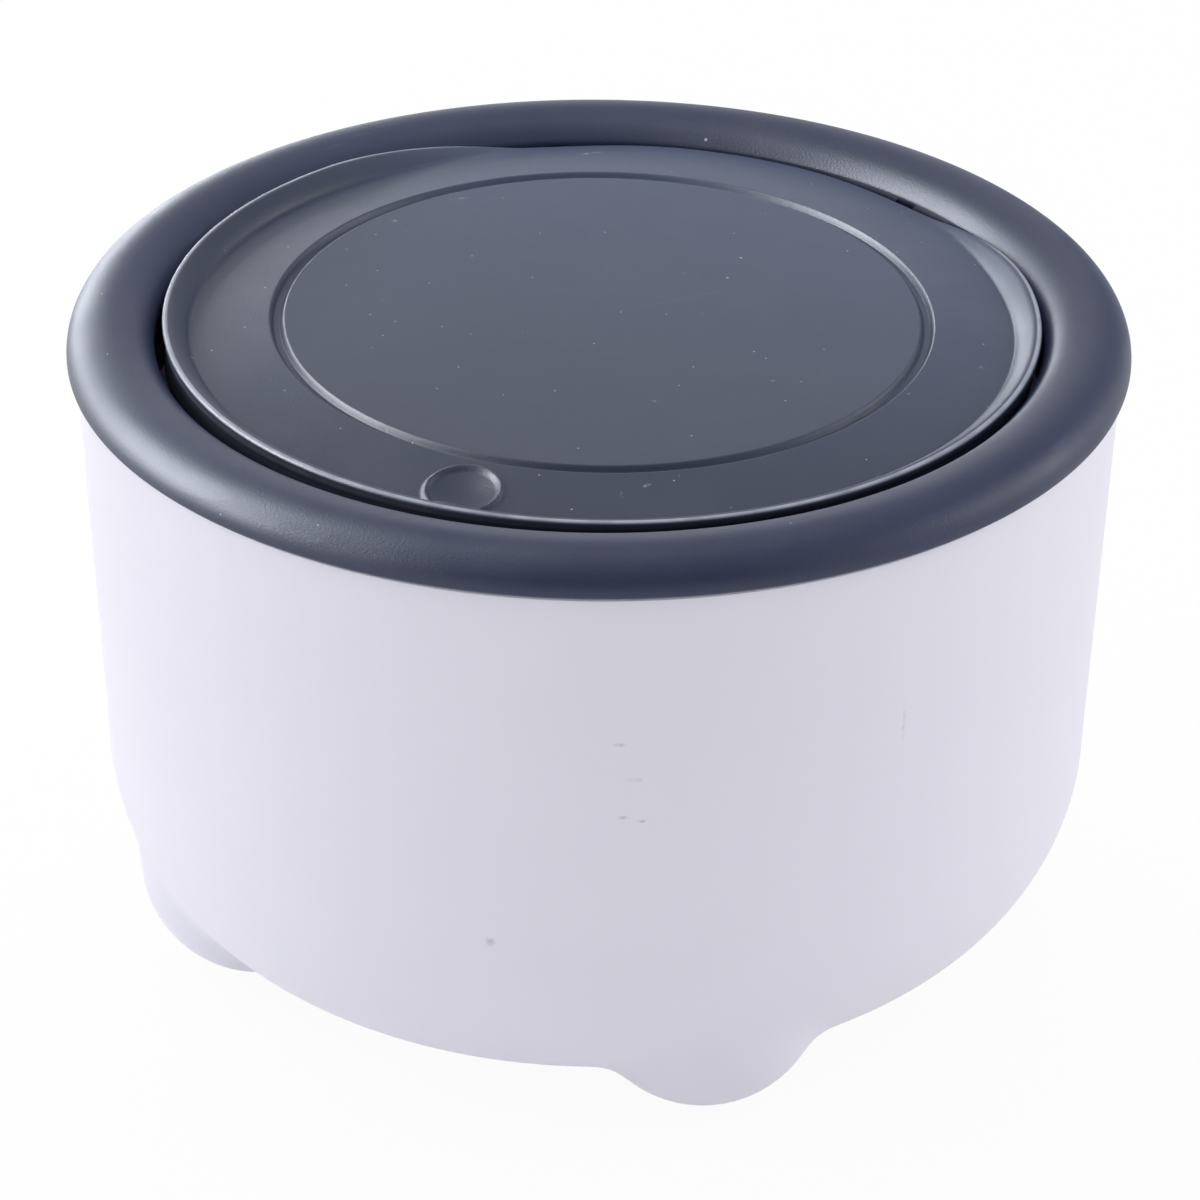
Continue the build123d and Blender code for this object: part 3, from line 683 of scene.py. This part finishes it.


# %% [markdown]
# The dark mouldings are satin plastic with a very fine grain. Kitchen dust and a few scuffs catch
# the light, so small pale specks are scattered over them, most of them no wider than a pin's point.
# A painted sheen makes the lid paler towards the hinge, and painted shade makes it darker towards
# its left edge. Corners that get the most wear are a little paler, and a painted highlight runs
# along the lid's crest. The walls of the gap between the two are painted nearly black, except
# towards the hinge, because hardly any light gets down there. Specks are given as the size of their
# cells and their radius, in millimetres.

# %% Finish: dark satin plastic of the lid and the ring
dust_colour = linear(196, 200, 212)
# Colour of the painted highlight along the lid's crest.
crest_highlight_colour = linear(165, 170, 186)
gap_colour = linear(8, 9, 12)
mark_z = 115.5
mark_tall = 8
small_speck = (2.6, 0.2)
large_speck = (7.5, 0.36)
# Painted sheen: how much paler the lid gets towards the hinge.
hinge_sheen_tint = 2.8
# Painted shade towards the lid's left edge.
left_shade_tint = 0.8
worn_tint = 1.9


def dark_satin(name, colour, roughness, dust, gap, marks=(), hinge_sheen=0.0, highlight_lines=()):
    """The satin finish, with this share of dust.

    Gap says where a wall is painted dark: the x and y of its axis, its radius, whether the wall
    faces outwards, and the heights at which the paint is full and at which it ends. Each painted
    highlight line has an x, y, radius, width, lowest height and strength."""
    finish = Finish(name, roughness, IOR=1.5)
    clouds = finish.noise(38, 3)
    grain = finish.noise(0.4, 2)
    base = finish.blend(finish.remap(clouds, 0.3, 0.7, 0, 1),
                        tint(colour, 0.93), tint(colour, 1.07))
    worn = finish.remap(finish.add("NewGeometry").outputs["Pointiness"], 0.52, 0.60, 0, 0.35)
    base = finish.blend(worn, base, tint(colour, worn_tint))
    # Painted sheen: the lid is paler towards the hinge.
    if hinge_sheen:
        share = finish.math("MULTIPLY", finish.between("Y", -60, 70), hinge_sheen)
        base = finish.blend(share, base, tint(colour, hinge_sheen_tint))
        # Painted shade: the lid is darker towards its left edge.
        base = finish.blend(finish.between("X", -40, -75), base, tint(colour, left_shade_tint))
    # Painted highlight: a pale line along the lid's crest.
    for x, y, radius, width, from_z, strength in highlight_lines:
        line = finish.math("MULTIPLY", finish.round_line(x, y, radius, width), strength)
        line = finish.math("MULTIPLY", line, finish.between("Z", from_z, from_z + 0.8))
        line = finish.math("MULTIPLY", line, finish.remap(finish.noise(5, 3), 0.3, 0.6, 0.6, 1))
        base = finish.blend(line, base, crest_highlight_colour)
    pale = finish.math("MAXIMUM", finish.specks(*small_speck, dust),
                       finish.specks(*large_speck, dust * 0.6))
    broken = finish.remap(finish.noise(0.9, 3, 0.7), 0.45, 0.6, 0, 1)
    for x, y, length, width, turn, strength in marks:
        spot = finish.spot(x, y, mark_z, length, width, mark_tall, turn)
        mark = finish.math("MULTIPLY", spot, finish.math("MULTIPLY", broken, strength))
        pale = finish.math("MAXIMUM", pale, mark)
    base = finish.blend(finish.math("MULTIPLY", pale, 0.7), base, dust_colour)
    x, y, radius, outwards, low_z, high_z = gap
    wall = finish.outside(x, y, radius, 0.3)
    if not outwards:
        wall = finish.math("SUBTRACT", 1.0, wall)
    deep = finish.math("MULTIPLY", wall, finish.between("Z", high_z, low_z))
    deep = finish.math("MULTIPLY", deep, finish.between("Y", 40, 10))
    finish.colour(finish.blend(deep, base, gap_colour))
    finish.specular(finish.remap(deep, 0, 1, 0.5, 0.05))
    rough = finish.remap(finish.noise(14, 4), 0.3, 0.7, roughness - 0.04, roughness + 0.05)
    finish.roughness(finish.math("ADD", rough, finish.math("MULTIPLY", pale, 0.2)))
    finish.bump((grain, 0.045), (finish.noise(55, 1), 0.05))
    return finish


# %% [markdown]
# The lid's marks are listed as x, y, length, width, turn and strength, in millimetres and degrees:
# two pale scuffs by the hinge, a few crumbs and short scuffs, and two faint scratches.

# %% Finish: the lid's marks, and both mouldings
lid_marks = [
    (-26.1, 62.6, 3.2, 1.6, 20, 0.9), (-24.2, 64.2, 2.6, 1.3, 30, 0.8),
    (-45.9, 20.8, 1.6, 1.1, 10, 1.0), (-42.7, 17.7, 1.3, 1.0, 60, 0.9),
    (27.6, -53.1, 2.0, 0.7, 50, 0.7), (24.8, -57.1, 2.4, 0.6, 110, 0.7),
    (19.2, -26.2, 1.2, 0.9, 0, 0.7), (35.0, -12.0, 1.0, 0.8, 0, 0.7),
    (65.0, 8.0, 1.2, 0.8, 0, 0.8), (69.7, -3.9, 1.0, 0.8, 0, 0.7),
    (-38.3, 33.5, 5.5, 0.7, 35, 0.35), (-31.8, 36.2, 5.0, 0.6, 30, 0.3),
]
ring_colour = linear(40, 49, 78)
lid_colour = linear(47, 55, 74)
lid_middle = rightwards * lid_play
# A painted highlight along the lid's crest.
crest_line = (lid_middle.x, lid_middle.y, lid_r - 0.5, 0.9, 115.0, 0.9)
ring_finish = dark_satin("ring_satin", ring_colour, 0.45, 0.10, (0, 0, 75.8, False, 112.0, 113.6))
lid_gap = (lid_middle.x, lid_middle.y, lid_r - 0.1, True, 114.8, 116.3)
lid_finish = dark_satin("lid_satin", lid_colour, 0.43, 0.25, lid_gap, lid_marks, 0.6, [crest_line])
ring.data.materials.clear()
ring.data.materials.append(ring_finish.material)
lid.data.materials.clear()
lid.data.materials.append(lid_finish.material)

# %% [markdown]
# The bowl is pale polypropylene with a cool, slightly violet white. The plastic lets a little light
# in, which softens its shadows. Its wall has faint waves from the mould and a few handling marks,
# listed as the turn from the front in degrees, height, width, length up the wall and strength.

# %% Finish: pale bowl plastic
bowl_colour = linear(236, 234, 246)
bowl_speck_colour = linear(150, 146, 160)
bowl_mark_colour = linear(140, 136, 146)
bowl_marks = [
    (22.5, 83.4, 2.4, 0.9, 0.35), (24.0, 76.7, 3.4, 1.0, 0.3), (23.0, 69.5, 2.6, 0.9, 0.4),
    (24.9, 68.7, 2.0, 0.8, 0.45), (8.6, 44.1, 2.2, 2.2, 0.4), (54.9, 79.0, 0.8, 9.0, 0.25),
]
bowl_mark_r = 87
bowl_mark_depth = 12


def pale_bowl():
    finish = Finish("bowl_white", 0.42, IOR=1.46)
    finish.shader.inputs["Subsurface Weight"].default_value = 0.12
    finish.shader.inputs["Subsurface Radius"].default_value = (1.0, 0.9, 0.9)
    finish.shader.inputs["Subsurface Scale"].default_value = 0.002
    clouds = finish.noise(60, 2)
    base = finish.blend(finish.remap(clouds, 0.3, 0.7, 0, 1), tint(bowl_colour, 0.985),
                        tint(bowl_colour, 1.01))
    specks = finish.specks(6.0, 0.16, 0.05)
    base = finish.blend(finish.math("MULTIPLY", specks, 0.35), base, bowl_speck_colour)
    broken = finish.remap(finish.noise(0.8, 3, 0.7), 0.4, 0.6, 0.2, 1)
    for turn, height, width, tall, strength in bowl_marks:
        x = bowl_mark_r * sin(radians(turn))
        y = -bowl_mark_r * cos(radians(turn))
        mark = finish.spot(x, y, height, width, bowl_mark_depth, tall, turn)
        mark = finish.math("MULTIPLY", mark, finish.math("MULTIPLY", broken, strength))
        base = finish.blend(mark, base, bowl_mark_colour)
    finish.colour(base)
    finish.roughness(finish.remap(finish.noise(20, 3), 0.3, 0.7, 0.38, 0.47))
    finish.bump((finish.noise(0.5, 2), 0.006), (finish.noise(70, 1), 0.08))
    return finish


bowl_finish = pale_bowl()
bowl.data.materials.clear()
bowl.data.materials.append(bowl_finish.material)

# %% [markdown]
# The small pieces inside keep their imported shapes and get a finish: dark plastic for the carrier
# and the liner, acetal for the latch, drawn wire for the springs, blackened steel for the shafts and
# plated steel for the screws.

# %% Finishes: inner plastic, acetal and steel
def inner_plastic(name, colour):
    finish = Finish(name, 0.5, IOR=1.5)
    base = finish.blend(finish.remap(finish.noise(25, 3), 0.3, 0.7, 0, 1), tint(colour, 0.9),
                        tint(colour, 1.1))
    finish.colour(finish.blend(finish.math("MULTIPLY", finish.specks(5, 0.2, 0.1), 0.4), base,
                               tint(colour, 4)))
    finish.roughness(finish.remap(finish.noise(9, 3), 0.3, 0.7, 0.44, 0.56))
    finish.bump((finish.noise(0.4, 2), 0.008))
    return finish


def acetal():
    finish = Finish("acetal", 0.3, IOR=1.48)
    milk = linear(232, 230, 224)
    cloudy = finish.remap(finish.noise(6, 3), 0.3, 0.7, 0, 1)
    finish.colour(finish.blend(cloudy, tint(milk, 0.94), milk))
    finish.roughness(finish.remap(finish.noise(3, 2), 0.3, 0.7, 0.26, 0.36))
    finish.bump((finish.noise(0.3, 1), 0.003))
    return finish


def steel(name, colour, roughness, line_mm):
    finish = Finish(name, roughness, Metallic=1.0)
    base = finish.blend(finish.remap(finish.noise(2.5, 3), 0.3, 0.7, 0, 1), tint(colour, 0.85),
                        tint(colour, 1.1))
    finish.colour(base)
    finish.roughness(finish.remap(finish.noise(1.2, 3), 0.3, 0.7,
                                  roughness - 0.06, roughness + 0.08))
    finish.bump((finish.noise(line_mm, 2), 0.002))
    return finish


finishes = {
    "carrier_plastic": inner_plastic("carrier_plastic", linear(44, 50, 64)),
    "liner_plastic": inner_plastic("liner_plastic", linear(48, 54, 68)),
    "latch_plastic": acetal(),
    "spring_steel": steel("spring_wire", linear(186, 188, 192), 0.28, 0.15),
    "shaft_steel": steel("blackened_pin", linear(52, 54, 60), 0.45, 0.1),
    "screw_steel": steel("zinc_plate", linear(190, 194, 204), 0.34, 0.2),
}
finishes["striker_plastic"] = finishes["latch_plastic"]
slot_of = {entry["node"]: entry["material_slot"] for entry in frame["record"]["subparts"]}
for name, node in frame["nodes"].items():
    if name in ("bowl", "ring_cover", "lid_panel"):
        continue
    node.data.materials.clear()
    node.data.materials.append(finishes[slot_of[name]].material)
print("finishes:", [material.name for material in bpy.data.materials])

# %% [markdown]
# ## The springs
# A torsion spring stands with one end in the ring and is turned by the lid at the other. Copies of
# the imported springs take their places, because an imported mesh stays as it is.
#
# The latch spring's copy moves with the ring and gets a mesh of its own. The plunger's longer
# travel is the upward one, and a real spring would follow the plunger up; the copy does not.

# %% Springs: copies that take the imported springs' places
def copy_of(name, new_name):
    """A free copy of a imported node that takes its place."""
    packed = frame["nodes"][name]
    data = packed.data.copy()
    data.transform(packed.matrix_world)
    piece = bpy.data.objects.new(new_name, data)
    bpy.context.scene.collection.objects.link(piece)
    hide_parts(name)
    return piece


for side in ("left", "right"):
    coil = copy_of("torsion_spring_" + side, "coil_" + side)
    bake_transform(coil)
push_spring = copy_of("latch_spring", "push_spring")
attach(push_spring, "ring")
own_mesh(push_spring)

# %% [markdown]
# ## The studio
# A pale floor, a white surround and large soft lamps. Positions are given as the camera sees them:
# to the right, away and up. The surround is white wherever it is seen directly, mirrored or through
# something clear, and gives only part of its light to the surfaces. A dark card on the camera's
# side stands for the unlit half of the room, and keeps the front of the ring from looking grey. Two
# grey cards, one overhead and one behind the bin to the right, take the place of the white surround
# in reflections.
# The floor is clear from below, so that the underside can be looked at.

# %% Studio: floor, surround, cards
floor_size = 6.0
floor_drop = 0.0002
floor_glow = 0.94
floor_mesh = bmesh.new()
bmesh.ops.create_grid(floor_mesh, x_segments=8, y_segments=8, size=floor_size / 2)
floor = finished(floor_mesh, "floor")
floor.data.transform(Matrix.Translation((0, 0, -floor_drop)))


def seen_share(finish_tree):
    """1 for a ray from the camera, a mirror or clear stuff, and 0 for light on surfaces."""
    path = finish_tree.nodes.new("ShaderNodeLightPath")
    total = path.outputs["Is Camera Ray"]
    for other in ("Is Glossy Ray", "Is Transmission Ray"):
        node = finish_tree.nodes.new("ShaderNodeMath")
        node.operation = "MAXIMUM"
        finish_tree.links.new(total, node.inputs[0])
        finish_tree.links.new(path.outputs[other], node.inputs[1])
        total = node.outputs[0]
    return total


def paper(name, darker, lighter):
    """Rough paper that varies softly between two shades."""
    finish = Finish(name, 0.9)
    finish.colour(finish.blend(finish.noise(300, 2), darker, lighter))
    return finish


def pale_floor():
    finish = paper("floor_paper", linear(236, 236, 238), linear(240, 240, 242))
    glow = finish.add("Emission", {"Color": (1, 1, 1, 1), "Strength": 1.0})
    share = finish.math("MULTIPLY", seen_share(finish.tree), floor_glow)
    mixed = finish.add("MixShader", {0: share, 1: finish.shader.outputs[0], 2: glow.outputs[0]})
    below = finish.add("NewGeometry").outputs["Backfacing"]
    clear = finish.add("BsdfTransparent").outputs[0]
    both = finish.add("MixShader", {0: below, 1: mixed.outputs[0], 2: clear})
    output = finish.tree.nodes["Material Output"]
    finish.tree.links.new(both.outputs[0], output.inputs["Surface"])
    return finish


floor.data.materials.append(pale_floor().material)

world = bpy.data.worlds.new("surround")
bpy.context.scene.world = world
world.use_nodes = True
ambient = 0.63
background = world.node_tree.nodes["Background"]
strength = world.node_tree.nodes.new("ShaderNodeMapRange")
strength.inputs["To Min"].default_value = ambient
strength.inputs["To Max"].default_value = 1.0
world.node_tree.links.new(seen_share(world.node_tree), strength.inputs["Value"])
world.node_tree.links.new(strength.outputs["Result"], background.inputs["Strength"])
background.inputs["Color"].default_value = (1, 1, 1, 1)


def studio(right, away, up):
    """A place in the studio, given as the camera sees it, in metres."""
    ahead = Vector((-sin(view_azimuth), cos(view_azimuth), 0))
    return rightwards * right + ahead * away + Vector((0, 0, up))


def card(name, place, facing, width, height, finish):
    """A card that is only seen in reflections. It takes no light away from the object."""
    mesh = bmesh.new()
    bmesh.ops.create_grid(mesh, x_segments=2, y_segments=2, size=0.5)
    piece = finished(mesh, name)
    turn = facing.to_track_quat("Z", "Y").to_matrix().to_4x4()
    piece.data.transform(Matrix.Translation(place) @ turn @ Matrix.Diagonal((width, height, 1, 1)))
    piece.data.materials.append(finish.material)
    piece.visible_camera = False
    piece.visible_diffuse = False
    piece.visible_shadow = False


dark_paper = paper("dark_paper", linear(40, 40, 46), linear(48, 48, 54))
grey_paper = paper("grey_paper", linear(168, 174, 194), linear(176, 182, 202))
card("front_card", studio(0, -1.6, 0.55), studio(0, 1, 0), 3.0, 1.8, dark_paper)
card("ceiling_card", studio(0.2, 0.2, 1.05), Vector((0, 0, -1)), 2.6, 2.9, grey_paper)
card("right_card", studio(0.95, 1.6, 0.4), studio(-0.5, -0.9, 0), 1.1, 0.9, grey_paper)

# %% [markdown]
# Large soft lamps stand at the left, at the right and above. Three cool lamps, the glints, give no
# diffuse light and only show in reflections, on the left and along the back of the lid and the ring.

# %% Studio: lamps
def soft_lamp(name, place, target, width, height, power, colour=(1, 1, 1)):
    lamp = bpy.data.objects.new(name, bpy.data.lights.new(name, "AREA"))
    lamp.data.shape = "RECTANGLE"
    lamp.data.size = width
    lamp.data.size_y = height
    lamp.data.energy = power
    lamp.data.color = colour
    lamp.location = place
    lamp.rotation_mode = "QUATERNION"
    lamp.rotation_quaternion = (target - place).to_track_quat("-Z", "Y")
    lamp.visible_camera = False
    bpy.context.scene.collection.objects.link(lamp)
    return lamp


cool = (0.88, 0.93, 1.0)
left_place = studio(-1.15, 0.10, 0.46)
soft_lamp("left_softbox", left_place, bin_middle, 0.8, 0.6, 3.6)
glints = [soft_lamp("left_glint", left_place, bin_middle, 0.9, 0.6, 47.0, cool),
          soft_lamp("high_glint", studio(-0.95, 0.35, 1.0), bin_middle, 0.6, 0.5, 17.0, cool),
          soft_lamp("back_glint", studio(-1.0, 1.8, 0.28), bin_middle, 1.3, 0.5, 21.0, cool)]
for glint in glints:
    glint.visible_diffuse = False
soft_lamp("right_softbox", studio(1.25, 0.2, 0.55), bin_middle, 0.8, 0.8, 4.5)
soft_lamp("top_softbox", studio(-0.1, 0.5, 1.3), bin_middle, 1.0, 0.8, 5.0)
print("lamps:", [lamp.name for lamp in bpy.data.lights])

scene = bpy.context.scene
scene.view_settings.view_transform = "Standard"
